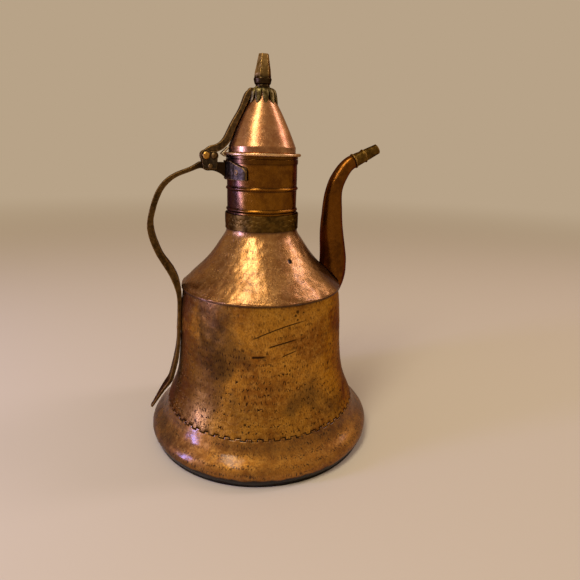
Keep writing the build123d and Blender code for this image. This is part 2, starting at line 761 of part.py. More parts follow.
def spout_tip():
    """The end sleeve: a tapered tube with two rings, and a spigot that enters the spout."""
    out, up, radius = spout_line[-1]
    inner = radius - spout_wall
    tip_inner = sleeve_tip_radius - sleeve_wall
    body = turn([(inner - sleeve_wall / 2, 0), (radius, 0), (sleeve_tip_radius, sleeve_length),
                 (tip_inner, sleeve_length)])
    body += tube(inner - spigot_gap, inner - sleeve_wall, -spigot_length, spigot_root)
    for place in sleeve_ring_places:
        local = radius + (sleeve_tip_radius - radius) * place / sleeve_length
        body += bevelled_band(local + sleeve_ring_height, local - sleeve_wall / 2, place,
                              place + sleeve_ring_length, sleeve_ring_bevel)
    return Pos(edge_radius + out, 0, edge_height + up) * Rot(0, 90 - sleeve_rise_angle, 0) * body


def write(pieces):
    """One STEP file for each piece, named after its node."""
    os.makedirs("parts", exist_ok=True)
    for node, shape in pieces.items():
        items = shape if isinstance(shape, list) else [shape]
        solids = [solid for item in items for solid in item.solids()]
        export_step(Compound(children=solids), f"parts/{node}.step")


def main():
    pan_teeth, wall_teeth = seam_teeth()
    envelope = pot_envelope()
    bar, wall = handle_bar(envelope), body_wall(wall_teeth)
    leg_pins, clasp_pins, cheek_pins = leg_rivets(), clasp_rivets(), cheek_rivets()
    write({
        "base_pan": base_pan(pan_teeth),
        "body_wall": wall - leg_pins,
        "shoulder_cone": shoulder_cone() - spout_hole(),
        "neck_collar": neck_collar(),
        "neck_tube": neck_tube() - clasp_pins,
        "neck_mouth_band": mouth_band(),
        "spout_tube": spout_tube(envelope),
        "spout_tip": spout_tip(),
        "handle_bar": bar - leg_pins - cheek_pins[1],
        "neck_clasp": neck_clasp() - clasp_pins,
        "clasp_rivets": clasp_pins,
        "leg_rivets": leg_pins,
        "hinge_cheeks": hinge_cheeks(),
        "cheek_rivets": cheek_pins,
        "hinge_pin": headed_pin(pin_x, pin_z, pin_radius, pin_head_radius, pin_head_height),
        "lid_cone": lid_cone(),
        "lid_rim_ring": lid_rim_ring(),
        "lid_inner_collar": lid_inner_collar(),
        "rim_clip": rim_clip(),
        "lid_strap": lid_strap(),
        "petal_crown": petal_crown(),
        "finial": finial(),
        "finial_washer": finial_washer(),
    })


main()
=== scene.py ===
"""Looks of a hand-made copper coffee pot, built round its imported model.

Metres. +Z is up, the pot's axis is Z, the spout leans out along +X and the handle along -X. Every
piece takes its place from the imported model: sheets are turned again from the lines of their nodes,
the leaves fill their node's box, and forged pieces are worked over from their nodes' solids.
"""

import math

import bpy
import numpy as np
from mathutils import Matrix, Vector
from mathutils.bvhtree import BVHTree


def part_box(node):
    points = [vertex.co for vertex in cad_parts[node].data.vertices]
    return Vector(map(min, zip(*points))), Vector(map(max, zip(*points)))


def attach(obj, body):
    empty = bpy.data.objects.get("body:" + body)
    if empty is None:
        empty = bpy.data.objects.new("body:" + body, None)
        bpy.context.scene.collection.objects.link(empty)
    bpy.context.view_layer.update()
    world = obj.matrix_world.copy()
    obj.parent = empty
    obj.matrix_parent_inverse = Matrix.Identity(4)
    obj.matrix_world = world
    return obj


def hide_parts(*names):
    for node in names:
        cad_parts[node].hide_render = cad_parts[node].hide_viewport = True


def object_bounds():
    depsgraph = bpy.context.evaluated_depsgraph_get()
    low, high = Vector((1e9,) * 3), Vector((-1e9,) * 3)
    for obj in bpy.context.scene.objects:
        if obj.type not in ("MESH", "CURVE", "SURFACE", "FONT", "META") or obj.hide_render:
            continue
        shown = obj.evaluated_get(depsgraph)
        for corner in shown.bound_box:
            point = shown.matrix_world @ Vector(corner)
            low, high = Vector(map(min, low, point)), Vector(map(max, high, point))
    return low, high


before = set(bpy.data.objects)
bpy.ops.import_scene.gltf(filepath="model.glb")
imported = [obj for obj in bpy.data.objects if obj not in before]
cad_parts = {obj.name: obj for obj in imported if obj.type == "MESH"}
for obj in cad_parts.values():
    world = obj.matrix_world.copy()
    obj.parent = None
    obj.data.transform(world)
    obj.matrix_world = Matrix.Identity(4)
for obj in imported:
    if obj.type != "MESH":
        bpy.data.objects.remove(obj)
cad_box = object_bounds()

MM = 0.001
TAU = 2 * math.pi

# Sizes that the looks share with the solids
SHEET = 1.2 * MM
TOOTH_COUNT = 60
SEAM_FOOT, SEAM_TOP = 32.8 * MM, 34.4 * MM
WALL_TOP = 138.1 * MM
EDGE_HEIGHT = 139.5 * MM  # of the shoulder's edge
NECK_FOOT, NECK_MOUTH = 186.5 * MM, 242.4 * MM
RING_RISES = (16.0 * MM, 33.0 * MM)  # of the neck's raised rings above its foot
LEAF_COUNT = 12
STRAP_WIDTH = 10.4 * MM

# Sizes of the looks alone
SHOULDER_SHEET, LID_SHEET = 0.8 * SHEET, 0.9 * SHEET
COLLAR_SHEET, MOUTH_BAND_SHEET = 0.7 * MM, 0.55 * MM
LEAF_SHEET, CAP_SHEET = 0.8 * MM, 0.6 * MM
STEPS_PER_TOOTH = 24  # round the pot, so that each flank falls on a step
SEAM_LINE = 0.58 * MM  # half width of the dark line along the teeth
GROOVE_REACH, GROOVE_DEPTH = 0.3 * MM, 0.35 * MM  # of the groove along the teeth
EDGE_ROUND = 1.1 * MM  # radius of an edge that shows full wear
PIT = (14.5 * MM, -40.8 * MM, 165.5 * MM)  # deep mark on the shoulder
SPOUT_ROOT = (66 * MM, -8 * MM, 148 * MM)  # where the painted shade on the shoulder is blackest
JUST_INSIDE = 0.02 * MM  # from a face's end, so that a ray meets the face

# Where stains, darker places and painted shade begin and end
PAINTED_SHADE_SIDE = (-56 * MM, -20 * MM)  # along X, painted shade added to the tarnish towards the left
NECK_PAINTED_REFLECTION_SIDE = (-27 * MM, -15 * MM)  # along X, a painted cool reflection on the left of the neck
PAN_PAINTED_SHADE_SIDES = (55 * MM, 96 * MM)  # painted shade, to either side of the middle
PAN_TOP = (18 * MM, 30 * MM)  # along Z, below the seam
FOOT_PAINTED_SHADE = (4.0 * MM, 6.2 * MM)  # along Z, painted shade under the foot's edge
PITTED_FOOT = (85 * MM, 120 * MM)  # along Z, fewer pits above
LID_BAND_PAINTED_SHADE = (250.5 * MM, 253.0 * MM)  # along Z, painted shade from the upright band to the cone
BUD_CUP = (302.5 * MM, 306.5 * MM)  # along Z, from the black cup to the bud
HANDLE_END = (-58 * MM, -49 * MM)  # along X, towards the hinge
HANDLE_TOP = (215 * MM, 222 * MM)  # along Z

# Camera, as the photograph was taken
CAMERA_PLACE = (-79.96 * MM, -376.2 * MM, 249.2 * MM)
CAMERA_AZIMUTH = math.radians(15.824)  # to the right of +Y
CAMERA_PITCH = math.radians(17.172)  # downwards
CAMERA_ROLL = math.radians(-1.515)
FOCAL_SHARE = 450 / 580  # focal length as a share of the frame's width
SENSOR = 36.0  # width in millimetres, which the focal length follows


def tone(*display):
    """A colour given as red, green and blue in display values of 0 to 255."""
    shares = [value / 255 for value in display]
    return tuple(v / 12.92 if v < 0.0404 else ((v + 0.055) / 1.055) ** 2.4 for v in shares)


BACKGROUND = tone(184, 163, 136)
FLOOR = tone(198, 186, 166)
# Tarnish, which also paints shade on the left of the wall
TARNISH_AND_PAINTED_SHADE = tone(74, 52, 32)
# Painted reflection: a cool dark tint
PAINTED_COOL_REFLECTION = tone(66, 48, 52)
PIT_BOTTOM = tone(40, 20, 8)
# Grime, and the colour of painted shade
DIRT_AND_PAINTED_SHADE = tone(34, 18, 9)
RUBBED_BRASS = tone(186, 142, 78)
# Near black, also the painted shade in the corners of brass
BLACKENING_AND_PAINTED_SHADE = tone(26, 17, 12)


# Smooth random fields


def waves(points, length, seed):
    """A smooth random field round 0, mostly within 1.5 of it, with features about one length across."""
    count = 14
    rng = np.random.default_rng(seed)
    way = rng.normal(size=(count, 3))
    way /= np.linalg.norm(way, axis=1, keepdims=True)
    way *= (TAU / length * rng.uniform(0.6, 1.4, count))[:, None]
    phase = rng.uniform(0, TAU, count)
    return np.sin(points @ way.T + phase).sum(axis=1) / math.sqrt(count * 0.7)


def dent(points, place, width):
    """A field that is 1 at a place and fades to 0 round it."""
    near = np.linalg.norm(points - np.array(place), axis=1)
    return np.exp(-((near / width) ** 2))


# Meshes


def new_object(name, places, faces):
    mesh = bpy.data.meshes.new(name)
    mesh.from_pydata(places.tolist(), [], faces.tolist() if hasattr(faces, "tolist") else faces)
    mesh.update()
    mesh.shade_smooth()
    piece = bpy.data.objects.new(name, mesh)
    bpy.context.scene.collection.objects.link(piece)
    return piece


def points_of(piece, key="co"):
    """The places of a piece's points, or with the key "normal" the ways in which they face."""
    values = np.empty(len(piece.data.vertices) * 3, np.float32)
    piece.data.vertices.foreach_get(key, values)
    return values.reshape(-1, 3).astype(float)


def move_points(piece, places):
    piece.data.vertices.foreach_set("co", places.astype(np.float32).ravel())
    piece.data.update()


def mask(piece, name, values):
    """A value for each vertex, which a material reads by its name."""
    piece.data.attributes.new(name, "FLOAT", "POINT").data.foreach_set("value", values.astype(np.float32))


def tree_of(node):
    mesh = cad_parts[node].data
    return BVHTree.FromPolygons([v.co[:] for v in mesh.vertices], [p.vertices[:] for p in mesh.polygons])


def outer_line(node, levels, around=(80, 95, 110, 250, 265, 280)):
    """Radius and height of a turned node's outer face at each level, at angles clear of all its holes."""
    tree = tree_of(node)
    far = 0.3
    line = []
    for level in levels:
        radii = []
        for angle in np.radians(around):
            way = Vector((math.cos(angle), math.sin(angle), 0))
            place = tree.ray_cast(way * far + Vector((0, 0, level)), -way)[0]
            if place is not None:
                radii.append(math.hypot(place.x, place.y))
        line.append((max(radii), level))
    return line


def levels_between(low, high, step):
    """Heights about one step apart, from just inside the one end to just inside the other."""
    count = max(2, round((high - low) / step) + 1)
    return list(np.linspace(low + JUST_INSIDE, high - JUST_INSIDE, count))


def lathe(name, line, segments, relief=None, keep=None):
    """A sheet turned from a line that runs upwards outside.

    relief says how far each point is pushed outwards, and keep which faces stay.
    """
    line = np.array(line)
    radius, height = line[:, 0], line[:, 1]
    across, up = np.gradient(radius), np.gradient(height)
    length = np.hypot(across, up)
    out_way, up_way = up / length, -across / length
    angle = np.arange(segments) * TAU / segments
    around, row = np.meshgrid(angle, np.arange(len(line)))
    cosine, sine = np.cos(around), np.sin(around)
    flat_radius, flat_height = radius[row], height[row]
    places = np.stack([flat_radius * cosine, flat_radius * sine, flat_height], axis=-1).reshape(-1, 3)
    if relief is not None:
        push = relief(places, around.ravel(), flat_height.ravel())
        ways = np.stack([out_way[row] * cosine, out_way[row] * sine, up_way[row]], axis=-1).reshape(-1, 3)
        places = places + ways * push[:, None]
    first = (np.arange(len(line) - 1)[:, None] * segments + np.arange(segments)[None, :]).ravel()
    column = np.tile(np.arange(segments), len(line) - 1)
    second = first - column + (column + 1) % segments
    faces = np.stack([first, second, second + segments, first + segments], axis=1)
    if keep is not None:
        middle = (column + 0.5) * TAU / segments
        level = (height[:-1][first // segments] + height[1:][first // segments]) / 2
        faces = faces[keep(middle, level)]
    return new_object(name, places, faces)


def thicken(piece, thickness, inner_slot=0):
    """Metal from the sheet inwards, whose inner face takes the material so many slots further on."""
    solid = piece.modifiers.new("thickness", "SOLIDIFY")
    solid.thickness = thickness
    solid.offset = -1
    solid.material_offset = inner_slot
    solid.material_offset_rim = 0


def settle(piece):
    """Applies the piece's modifiers."""
    depsgraph = bpy.context.evaluated_depsgraph_get()
    depsgraph.update()
    mesh = bpy.data.meshes.new_from_object(piece.evaluated_get(depsgraph))
    piece.modifiers.clear()
    piece.data = mesh


def mark_edges(piece, spacing):
    """A value from 0 on flat places to 1 along edges, which wear follows."""
    ends = np.empty(len(piece.data.edges) * 2, np.int32)
    piece.data.edges.foreach_get("vertices", ends)
    first, second = ends[0::2], ends[1::2]
    near, far = np.concatenate([first, second]), np.concatenate([second, first])
    count = np.maximum(np.bincount(near, minlength=len(piece.data.vertices)), 1)

    def around(values):
        return np.bincount(near, values[far], len(count)) / count

    places = points_of(piece)
    middle = np.stack([around(places[:, k]) for k in range(3)], axis=1)
    bend = ((places - middle) * points_of(piece, "normal")).sum(axis=1) * 4 / spacing**2
    for _ in range(3):
        bend = around(bend)
    mask(piece, "edge", np.clip(bend * EDGE_ROUND, 0, 1))


def worked(name, node, voxel, smoothing, relief=None):
    """A forged piece: the node's solid with its edges hammered round and its faces left uneven.

    voxel is the size of the new mesh's cells, and smoothing how often the mesh is smoothed.
    """
    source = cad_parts[node].data.copy()
    piece = bpy.data.objects.new(name, source)
    bpy.context.scene.collection.objects.link(piece)
    remesh = piece.modifiers.new("skin", "REMESH")
    remesh.mode = "VOXEL"
    remesh.voxel_size = voxel
    ease = piece.modifiers.new("ease", "SMOOTH")
    ease.factor = 0.5
    ease.iterations = smoothing
    settle(piece)
    mark_edges(piece, voxel)
    if relief is not None:
        places = points_of(piece)
        move_points(piece, places + points_of(piece, "normal") * relief(places)[:, None])
    move_points(piece, np.clip(points_of(piece), *cad_box))
    piece.data.shade_smooth()
    return piece


def forged(depth, length, seed):
    """Relief of hammer work that takes metal away nearly everywhere."""
    def relief(places):
        broad = waves(places, length, seed)
        small = waves(places, length / 3, seed + 1)
        return depth * (0.7 * broad + 0.3 * small - 1.0) / 2
    return relief


def swollen(amount):
    """Relief of a piece that stands out of its seat all round."""
    return lambda places: np.full(len(places), amount)


def recolour(node, material):
    """A node that the looks leave as it is, apart from its colour."""
    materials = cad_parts[node].data.materials
    materials.clear()
    materials.append(material)


def dress(piece, body, node, slot, *materials):
    """Gives a piece its materials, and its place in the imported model."""
    piece.data.materials.clear()
    for material in materials:
        piece.data.materials.append(material)
    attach(piece, body)
    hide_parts(node)


# Materials


class Shader:
    """Short calls that build the nodes of one material, with patterns that follow the object."""

    def __init__(self, name):
        self.material = bpy.data.materials.new(name)
        self.material.use_nodes = True
        self.tree = self.material.node_tree
        self.tree.nodes.clear()
        self.face = self.add("ShaderNodeBsdfPrincipled")
        output = self.add("ShaderNodeOutputMaterial")
        self.tree.links.new(self.face.outputs[0], output.inputs["Surface"])
        self.place = self.add("ShaderNodeTexCoord").outputs["Object"]

    def add(self, kind, **settings):
        """A new node with its settings."""
        node = self.tree.nodes.new(kind)
        for key, value in settings.items():
            setattr(node, key, value)
        return node

    def put(self, socket, value):
        """Links a socket, or sets it to a number, colour or place."""
        if isinstance(value, bpy.types.NodeSocket):
            self.tree.links.new(value, socket)
        elif hasattr(value, "__len__"):
            socket.default_value = (*value, 1.0)[: len(socket.default_value)]
        else:
            socket.default_value = value

    def stretched(self, stretch, shift=(0, 0, 0)):
        """Places in the object, for a pattern that is drawn out along each axis and shifted."""
        node = self.add("ShaderNodeMapping")
        self.put(node.inputs["Vector"], self.place)
        node.inputs["Scale"].default_value = [1 / s for s in stretch]
        node.inputs["Location"].default_value = shift
        return node.outputs[0]

    def noise(self, size, detail=3.0, rough=0.55, stretch=(1, 1, 1), shift=(0, 0, 0), twist=0.0):
        node = self.add("ShaderNodeTexNoise")
        self.put(node.inputs["Vector"], self.stretched(stretch, shift))
        node.inputs["Scale"].default_value = 1 / size
        node.inputs["Detail"].default_value = detail
        node.inputs["Roughness"].default_value = rough
        node.inputs["Distortion"].default_value = twist
        return node.outputs["Fac"]

    def cells(self, size):
        node = self.add("ShaderNodeTexVoronoi", feature="SMOOTH_F1")
        self.put(node.inputs["Vector"], self.place)
        node.inputs["Scale"].default_value = 1 / size
        return node.outputs["Distance"]

    def reckon(self, kind, first, second=0.0):
        node = self.add("ShaderNodeMath", operation=kind)
        self.put(node.inputs[0], first)
        self.put(node.inputs[1], second)
        return node.outputs[0]

    def times(self, first, *others):
        for other in others:
            first = self.reckon("MULTIPLY", first, other)
        return first

    def most(self, first, *others):
        for other in others:
            first = self.reckon("MAXIMUM", first, other)
        return first

    def less(self, first, second):
        return self.reckon("SUBTRACT", first, second)

    def ease(self, value, low, high, start=0.0, end=1.0):
        """A smooth step from start, where the value is low, to end, where it is high."""
        node = self.add("ShaderNodeMapRange", interpolation_type="SMOOTHSTEP")
        for key, number in (("Value", value), ("From Min", low), ("From Max", high), ("To Min", start),
                            ("To Max", end)):
            self.put(node.inputs[key], number)
        return node.outputs["Result"]

    def blend(self, share, first, second):
        node = self.add("ShaderNodeMix", data_type="RGBA")
        self.put(node.inputs[0], share)
        self.put(node.inputs[6], first)
        self.put(node.inputs[7], second)
        return node.outputs[2]

    def value(self, name):
        """A value that the mesh holds for each vertex."""
        return self.add("ShaderNodeAttribute", attribute_name=name).outputs["Fac"]

    def axis(self, name):
        node = self.add("ShaderNodeSeparateXYZ")
        self.put(node.inputs[0], self.place)
        return node.outputs[name]

    def stroke(self, start, end, width, wobble):
        """A scratch on the front, from one (x, z) to another, with a waver."""
        run = Vector(end) - Vector(start)
        way, side = run.normalized(), run.normalized().orthogonal()
        x = self.less(self.axis("X"), start[0])
        z = self.less(self.axis("Z"), start[1])
        along = self.reckon("ADD", self.times(x, way.x), self.times(z, way.y))
        off = self.reckon("ADD", self.times(x, side.x), self.times(z, side.y))
        share = self.reckon("DIVIDE", along, run.length)
        bow = self.times(share, self.less(1.0, share), wobble)
        near = self.ease(self.reckon("ABSOLUTE", self.less(off, bow)), 0.2 * width, width, 1.0, 0.0)
        ends = self.times(self.ease(share, -0.02, 0.12), self.ease(share, 0.7, 1.02, 1.0, 0.0))
        front = self.ease(self.axis("Y"), -20 * MM, 0.0, 1.0, 0.0)
        return self.times(near, ends, front)

    def spot(self, place, radius):
        """A round mark at a place."""
        node = self.add("ShaderNodeVectorMath", operation="DISTANCE")
        self.put(node.inputs[0], self.place)
        self.put(node.inputs[1], place)
        return self.ease(node.outputs["Value"], 0.55 * radius, radius, 1.0, 0.0)

    def bump(self, height, strength, distance, below=None):
        node = self.add("ShaderNodeBump")
        node.inputs["Strength"].default_value = strength
        node.inputs["Distance"].default_value = distance
        self.put(node.inputs["Height"], height)
        if below is not None:
            self.put(node.inputs["Normal"], below)
        return node.outputs[0]

    def crevice(self, distance):
        """1 in corners that are closed in within this distance, 0 in the open, for painted shade."""
        node = self.add("ShaderNodeAmbientOcclusion", samples=6)
        node.inputs["Distance"].default_value = distance
        return self.ease(node.outputs["AO"], 0.35, 0.85, 1.0, 0.0)


def copper(name, dark, middle, light, rough=(0.26, 0.40), grain=0.45, specks=0.8, hammer=0.3, ridges=0.0,
           fine_bump=0.22, coat=(0.05, 0.22), tarnish_and_shade=0.0, cool=None, extra=None):
    """Hand-hammered copper: clouds of patina, fine grain, rows of dark pits and soft hammer marks.

    rough is the least and the greatest roughness, and coat the weight and roughness of the polish on top.
    grain, specks and tarnish say how strongly each darkens the colour, and hammer, ridges and fine_bump how
    strong each relief is; the tarnish adds painted shade towards the left side. cool is the reach along X in
    which a painted cool reflection fades, and extra a function that gives the places of marks, grime and
    painted shade.
    """
    s = Shader(name)
    cloud = s.noise(30 * MM, 4, 0.6, twist=0.3)
    fine = s.noise(4.5 * MM, 5, 0.7)
    grains = s.noise(1.0 * MM, 3, 0.6, stretch=(1, 1, 1.7))
    colour = s.blend(s.ease(cloud, 0.36, 0.62), dark, middle)
    colour = s.blend(s.ease(fine, 0.40, 0.70, 0.0, 0.5), colour, light)
    deep = [0.6 * v for v in dark]
    colour = s.blend(s.ease(grains, 0.46, 0.60, 0.0, grain), colour, deep)
    if tarnish_and_shade:
        # Tarnish in clouds, with painted shade added towards the left side
        side = s.ease(s.axis("X"), *PAINTED_SHADE_SIDE, 0.18, -0.02)
        tarnish_and_shade_mask = s.reckon("ADD", s.noise(46 * MM, 3, 0.55, shift=(0.13, 0.37, 0.21), twist=0.5), side)
        colour = s.blend(s.ease(tarnish_and_shade_mask, 0.50, 0.66, 0.0, tarnish_and_shade), colour, TARNISH_AND_PAINTED_SHADE)
    if cool:
        # Painted reflection: a cool dark tint on the left, fading towards the right
        colour = s.blend(s.ease(s.axis("X"), *cool, 0.8, 0.0), colour, PAINTED_COOL_REFLECTION)
    row_count = s.reckon("DIVIDE", s.axis("Z"), 5.4 * MM)
    level = s.reckon("ADD", row_count, s.times(s.noise(24 * MM, 2), 1.8))
    row = s.ease(s.reckon("PINGPONG", level, 0.5), 0.10, 0.36, 1.0, 0.25)
    dots = s.ease(s.noise(1.0 * MM, 2, 0.5, stretch=(1, 1, 3.4)), 0.535, 0.600)
    groups = s.ease(s.noise(19 * MM, 3, 0.6, shift=(0.3, 0.1, 0.2)), 0.34, 0.56, 0.35, 1.0)
    groups = s.times(groups, s.ease(s.axis("Z"), *PITTED_FOOT, 1.0, 0.6))
    pits = s.times(dots, row, groups, specks)
    colour = s.blend(pits, colour, PIT_BOTTOM)
    hollow = pits
    if extra is not None:
        # Marks and grime, with painted shade where the extra function places it
        dirt_and_shade = extra(s)
        colour = s.blend(dirt_and_shade, colour, DIRT_AND_PAINTED_SHADE)
        hollow = s.most(pits, dirt_and_shade)
    s.put(s.face.inputs["Base Color"], colour)
    s.face.inputs["Metallic"].default_value = 0.97
    s.face.inputs["Specular Tint"].default_value = (0.34, 0.24, 0.17, 1)
    s.face.inputs["Coat Weight"].default_value, s.face.inputs["Coat Roughness"].default_value = coat
    gloss = s.ease(s.noise(2.2 * MM, 4, 0.6), 0.3, 0.7, rough[0], rough[1])
    s.put(s.face.inputs["Roughness"], s.reckon("ADD", gloss, s.times(pits, 0.3)))
    below = s.bump(s.cells(7.5 * MM), hammer, 1.0 * MM)
    if ridges:
        below = s.bump(s.noise(1.5 * MM, 3, 0.6, stretch=(1, 1, 5.5), twist=0.5), ridges, 0.4 * MM, below)
    below = s.bump(s.noise(1.3 * MM, 4, 0.65), fine_bump, 0.25 * MM, below)
    below = s.bump(s.less(1.0, hollow), 0.6, 0.3 * MM, below)
    s.put(s.face.inputs["Normal"], below)
    return s.material


def brass(name, dark, middle, light, rough=(0.30, 0.46), crevice=2.0 * MM, wear=0.7, extra=None):
    """Forged brass with an old olive patina, rubbed along its edges and black in its corners with painted
    shade.

    crevice is how far the painted shade reaches out of a corner, and wear how much of the edges is rubbed
    bright.
    """
    s = Shader(name)
    cloud = s.noise(11 * MM, 4, 0.62, twist=0.3)
    fine = s.noise(2.6 * MM, 4, 0.6)
    colour = s.blend(s.ease(cloud, 0.38, 0.62), dark, middle)
    colour = s.blend(s.ease(fine, 0.45, 0.68, 0.0, 0.5), colour, light)
    worn = s.times(s.ease(s.value("edge"), 0.22, 0.7), s.ease(fine, 0.32, 0.56, wear * 0.4, wear))
    colour = s.blend(worn, colour, RUBBED_BRASS)
    # Painted shade: corners that are closed in turn black, and the extra function adds dark places of its own
    blackening_and_shade = s.times(s.crevice(crevice), 0.9)
    if extra is not None:
        blackening_and_shade = s.most(blackening_and_shade, extra(s))
    colour = s.blend(blackening_and_shade, colour, BLACKENING_AND_PAINTED_SHADE)
    s.put(s.face.inputs["Base Color"], colour)
    s.face.inputs["Metallic"].default_value = 0.96
    s.face.inputs["Specular Tint"].default_value = (0.34, 0.26, 0.18, 1)
    s.put(s.face.inputs["Roughness"], s.ease(fine, 0.3, 0.7, rough[0], rough[1]))
    below = s.bump(s.cells(4.5 * MM), 0.25, 0.6 * MM)
    below = s.bump(s.noise(1.2 * MM, 4, 0.6), 0.22, 0.25 * MM, below)
    s.put(s.face.inputs["Normal"], below)
    return s.material


def seam_dirt(s):
    """The dark line along the teeth, fainter in places."""
    return s.times(s.value("seam"), s.ease(s.noise(7 * MM, 2), 0.36, 0.50, 0.3, 1.0))


def foot_dirt_and_shade(s):
    """Black painted shade under the foot, painted shade at left and right, the seam's line, darker clouds
    below it.
    """
    height = s.axis("Z")
    uneven = s.times(s.noise(9 * MM, 4, 0.6), 6 * MM)
    # Painted shade: a black band under the foot's edge
    edge = s.ease(s.less(height, uneven), *FOOT_PAINTED_SHADE, 1.0, 0.0)
    cloudy = s.ease(s.noise(12 * MM, 3, 0.6), 0.36, 0.60, 0.5, 1.0)
    under_seam = s.times(s.ease(height, *PAN_TOP, 0.0, 0.30), cloudy)
    # Painted shade: darker towards the left and right of the pan
    painted_shade_sides = s.times(s.ease(s.reckon("ABSOLUTE", s.axis("X")), *PAN_PAINTED_SHADE_SIDES, 0.0, 0.62), cloudy)
    return s.most(edge, seam_dirt(s), under_seam, painted_shade_sides)


def wall_marks_and_shade(s):
    """Front scratches and marks, the seam's line, painted dark reflections on the left, painted shade under
    the fold.

    In millimetres: scratches by the X and Z of both ends, width and bow; marks and painted reflections by
    place and radius.
    """
    scratches = (
        ((-22.0, 111.6), (26.0, 124.2), 0.75, 12.0),
        ((-10.0, 105.4), (17.0, 110.4), 0.9, 3.0),
        ((1.0, 97.0), (15.0, 101.2), 0.65, 2.0),
        ((-22.0, 97.8), (-9.5, 98.3), 1.5, 0.0),
    )
    marks = (
        (14.3, -67.7, 132.1, 1.9), (12.6, -67.9, 129.3, 1.4), (14.3, -68.2, 125.8, 1.2),
        (17.9, -68.5, 113.2, 1.2), (19.6, -66.6, 131.0, 1.1), (-28.2, -75.0, 44.1, 1.5),
        (-31.0, -74.2, 42.0, 1.2), (-24.5, -76.4, 42.5, 1.2), (3.9, -71.9, 89.9, 1.2),
        (8.0, -71.9, 85.2, 1.1), (-37.6, -70.7, 49.1, 1.2),
    )
    # Painted reflections: dark patches on the left of the wall
    painted_reflection_patches = ((-51.9, -47.4, 118.0, 24), (-49.5, -52.0, 91.0, 22))
    dark = seam_dirt(s)
    for start, end, width, bow in scratches:
        line = s.stroke([v * MM for v in start], [v * MM for v in end], width * MM, bow * MM)
        dark = s.most(dark, s.times(line, 0.95))
    for *place, radius in marks:
        dark = s.most(dark, s.times(s.spot([v * MM for v in place], radius * MM), 0.8))
    cloudy = s.ease(s.noise(9 * MM, 3, 0.6), 0.36, 0.60, 0.15, 0.62)
    for *place, radius in painted_reflection_patches:
        dark = s.most(dark, s.times(s.spot([v * MM for v in place], radius * MM), cloudy))
    # Painted shade under the shoulder's fold
    fold = s.ease(s.axis("Z"), WALL_TOP - 3.0 * MM, WALL_TOP - 0.8 * MM, 0.0, 0.6)
    return s.most(dark, fold)


def shoulder_marks_and_shade(s):
    """A deep pit on the right, a darker foot of the neck, painted shade under the edge and by the spout."""
    root = s.ease(s.axis("Z"), NECK_FOOT - 2.2 * MM, NECK_FOOT, 0.0, 0.7)
    # Painted shade under the shoulder's edge
    edge = s.ease(s.axis("Z"), EDGE_HEIGHT - 1.6 * MM, EDGE_HEIGHT - 0.6 * MM, 0.75, 0.0)
    pit = s.spot(PIT, 2.6 * MM)
    # Painted shade round the spout's root
    painted_shade_by_spout = s.times(s.spot(SPOUT_ROOT, 46 * MM), 0.6)
    return s.most(root, edge, pit, painted_shade_by_spout)


def neck_darkening(s):
    """Darker under the mouth band and along both edges of the raised rings."""
    height = s.axis("Z")
    dark = s.ease(height, NECK_MOUTH - 5.2 * MM, NECK_MOUTH - 4.0 * MM, 0.0, 0.4)
    for rise in RING_RISES:
        off = s.reckon("ABSOLUTE", s.less(height, NECK_FOOT + rise))
        line = s.times(s.ease(off, 0.9 * MM, 1.4 * MM), s.ease(off, 1.5 * MM, 2.6 * MM, 1.0, 0.0))
        dark = s.most(dark, s.times(line, 0.6))
    return dark


def lining(name):
    """Old tin lining, dull and brown with age."""
    s = Shader(name)
    cloud = s.noise(14 * MM, 5, 0.65)
    colour = s.blend(s.ease(cloud, 0.35, 0.68), tone(74, 58, 44), tone(128, 112, 94))
    s.put(s.face.inputs["Base Color"], colour)
    s.face.inputs["Metallic"].default_value = 0.7
    s.put(s.face.inputs["Roughness"], s.ease(cloud, 0.3, 0.7, 0.45, 0.65))
    s.put(s.face.inputs["Normal"], s.bump(s.noise(2.5 * MM, 4, 0.6), 0.3, 0.3 * MM))
    return s.material


def finial_dark_cup(s):
    """The cup and foot of the bud are nearly black."""
    return s.ease(s.axis("Z"), *BUD_CUP, 0.90, 0.0)


def handle_soot(s):
    """The end of the handle at the neck is black, like the hinge on it."""
    return s.times(s.ease(s.axis("X"), *HANDLE_END, 0.0, 0.8), s.ease(s.axis("Z"), *HANDLE_TOP))


def lid_band_painted_shade(s):
    """Painted shade: the lid's upright band is darker than its cone."""
    return s.ease(s.axis("Z"), *LID_BAND_PAINTED_SHADE, 0.18, 0.0)


wall_copper = copper("wall_copper", tone(144, 92, 32), tone(190, 134, 48), tone(214, 162, 76), grain=0.45,
                     specks=1.0, hammer=0.30, tarnish_and_shade=0.62, extra=wall_marks_and_shade)
pan_copper = copper("pan_copper", tone(120, 72, 20), tone(166, 110, 34), tone(194, 142, 62), grain=0.35,
                    rough=(0.40, 0.56), specks=0.8, hammer=0.36, coat=(0.46, 0.16), extra=foot_dirt_and_shade)
shoulder_copper = copper("shoulder_copper", tone(138, 90, 46), tone(174, 124, 68), tone(198, 152, 98),
                         rough=(0.25, 0.33), grain=0.28, specks=0.6, hammer=0.18, ridges=0.40, fine_bump=0.10,
                         coat=(0.3, 0.2), extra=shoulder_marks_and_shade)
neck_copper = copper("neck_copper", tone(96, 56, 16), tone(134, 86, 20), tone(152, 102, 34), grain=0.15,
                     rough=(0.20, 0.30), specks=0.3, hammer=0.10, cool=NECK_PAINTED_REFLECTION_SIDE, extra=neck_darkening)
lid_copper = copper("lid_copper", tone(154, 102, 62), tone(192, 136, 84), tone(206, 156, 106), grain=0.18,
                    rough=(0.24, 0.34), specks=0.2, hammer=0.20, ridges=0.12, coat=(0.3, 0.2), extra=lid_band_painted_shade)
ring_copper = copper("ring_copper", tone(196, 148, 98), tone(226, 182, 130), tone(236, 202, 158), grain=0.05,
                     rough=(0.24, 0.36), specks=0.2, hammer=0.1)
